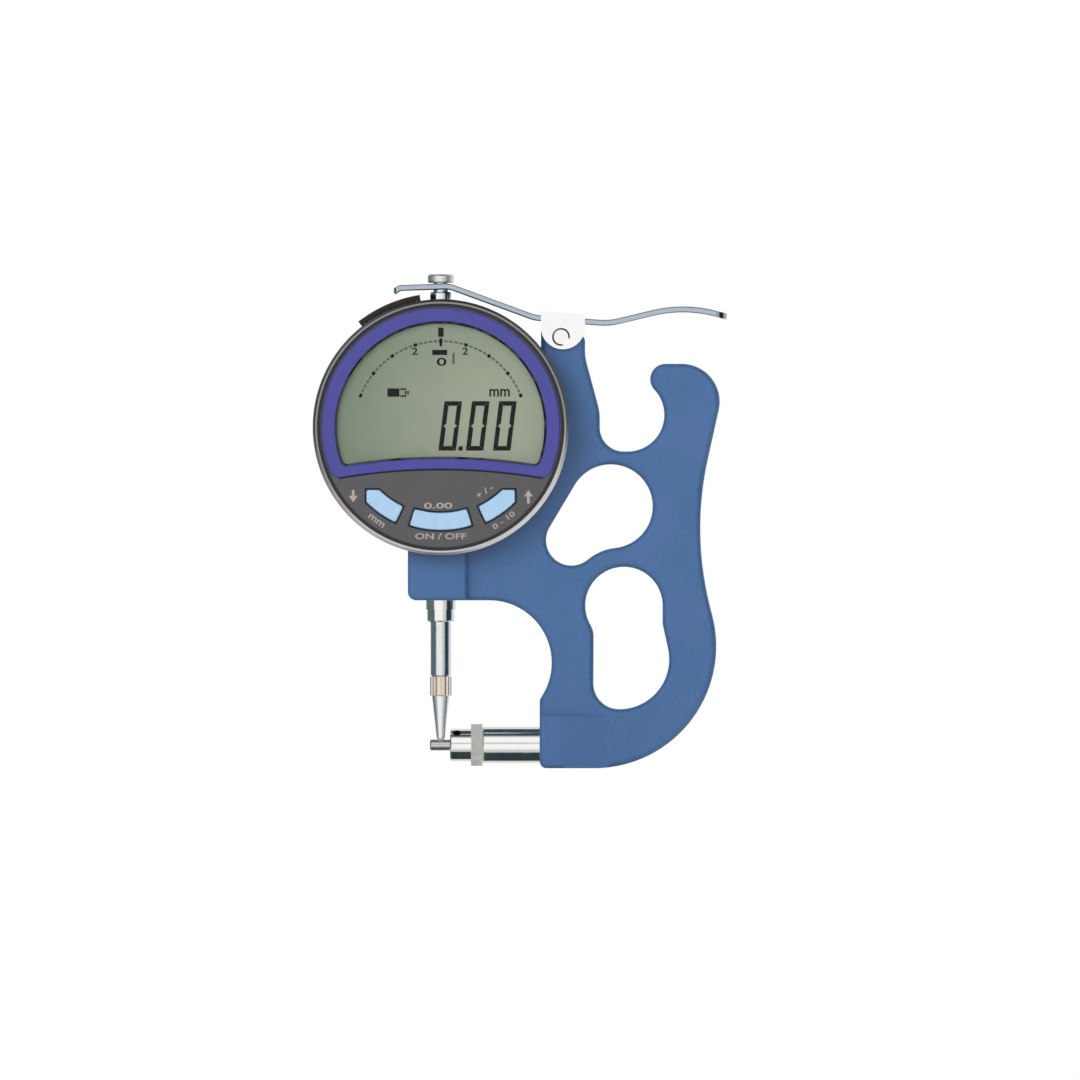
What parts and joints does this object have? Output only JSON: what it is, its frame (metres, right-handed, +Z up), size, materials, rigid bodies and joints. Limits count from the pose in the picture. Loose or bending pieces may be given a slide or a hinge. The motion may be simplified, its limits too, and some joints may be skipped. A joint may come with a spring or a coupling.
{
  "type": "digital pipe thickness gauge",
  "caption": "Hand-held dial gauge with finger lever, round digital display, C-frame with finger holes, and a pin anvil that enters the pipe.",
  "frame": {"origin": "the measuring point: on the anvil pin's axis, straight below the spindle", "axes": "+Z up along the spindle, +X from the spindle towards the grip, +Y away from the reader, so the dial faces -Y"},
  "size_m": [0.0971, 0.0245, 0.1158],
  "materials": {
    "frame_paint": "hammered blue enamel, semi-gloss",
    "bright_steel": "polished bright plate",
    "ground_steel": "ground",
    "contact_steel": "hardened, straw tinted",
    "dark_steel": "black oxide",
    "bezel_metal": "turned, satin",
    "case_plastic": "fine moulded grain",
    "panel_paint": "satin dark grey",
    "surround_plastic": "gloss violet blue",
    "window_clear": "clear, gloss",
    "lcd": "grey green polariser",
    "key_plastic": "light blue, satin gloss",
    "cover_rubber": "dark brown, satin",
    "mat_rubber": "grey silicone",
    "tray_plastic": "white moulded",
    "socket_plastic": "black moulded",
    "board_resin": "green lacquer",
    "carrier_metal": "milled",
    "scale_glass": "amber printed scale",
    "battery_steel": "nickel plated",
    "lid_plastic": "fine moulded grain"
  },
  "bodies": {
    "gauge": {"frame_casting": "frame_paint", "anvil_shank": "bright_steel", "anvil_holder": "bright_steel", "anvil_lock_nut": "bright_steel", "lower_bush": "bright_steel", "upper_bush": "bright_steel", "stem": "bright_steel", "anvil_pin": "ground_steel", "guide_rail": "ground_steel", "return_spring": "ground_steel", "battery_contact": "ground_steel", "stem_set_screw": "dark_steel", "anvil_clamp_screw": "dark_steel", "anvil_pin_screw": "dark_steel", "back_cover_screws": "dark_steel", "bezel_ring": "bezel_metal", "case_body": "case_plastic", "back_cover": "case_plastic", "face_panel": "panel_paint", "window_surround": "surround_plastic", "window_lens": "window_clear", "lcd_panel": "lcd", "port_cover": "cover_rubber", "key_mat": "mat_rubber", "display_tray": "tray_plastic", "data_socket": "socket_plastic", "reading_head": "socket_plastic", "circuit_board": "board_resin", "battery": "battery_steel", "battery_lid": "lid_plastic"},
    "spindle": {"spindle": "ground_steel", "lifting_cap": "bright_steel", "contact_point": "contact_steel", "encoder_carrier": "carrier_metal", "encoder_scale": "scale_glass", "guide_pin": "ground_steel"},
    "lever": {"lever_strip": "bright_steel", "lever_saddle": "bright_steel", "lever_pin": "bright_steel", "lever_pin_clip": "dark_steel"},
    "left_key": {"left_key": "key_plastic"},
    "centre_key": {"centre_key": "key_plastic"},
    "right_key": {"right_key": "key_plastic"}
  },
  "joints": [
    {"name": "lever_swing", "type": "hinge", "parent": "gauge", "child": "lever", "pos_m": [0.0282, 0, 0.09565], "axis": [0, 1, 0], "range_deg": [0, 17.87]},
    {"name": "spindle_slide", "type": "slide", "parent": "gauge", "child": "spindle", "axis": [0, 0, 1], "range_m": [0, 0.01], "stiffness_N_per_m": 60, "springref_m": -0.02, "deforming": ["return_spring"]},
    {"name": "left_key_press", "type": "slide", "parent": "gauge", "child": "left_key", "axis": [0, 1, 0], "range_m": [0, 0.0004], "stiffness_N_per_m": 400, "springref_m": -0.001},
    {"name": "centre_key_press", "type": "slide", "parent": "gauge", "child": "centre_key", "axis": [0, 1, 0], "range_m": [0, 0.0004], "stiffness_N_per_m": 400, "springref_m": -0.001},
    {"name": "right_key_press", "type": "slide", "parent": "gauge", "child": "right_key", "axis": [0, 1, 0], "range_m": [0, 0.0004], "stiffness_N_per_m": 400, "springref_m": -0.001}
  ],
  "couplings": [
    {"joint": "lever_swing", "follows": "spindle_slide", "rad_per_m": 31.18}
  ]
}
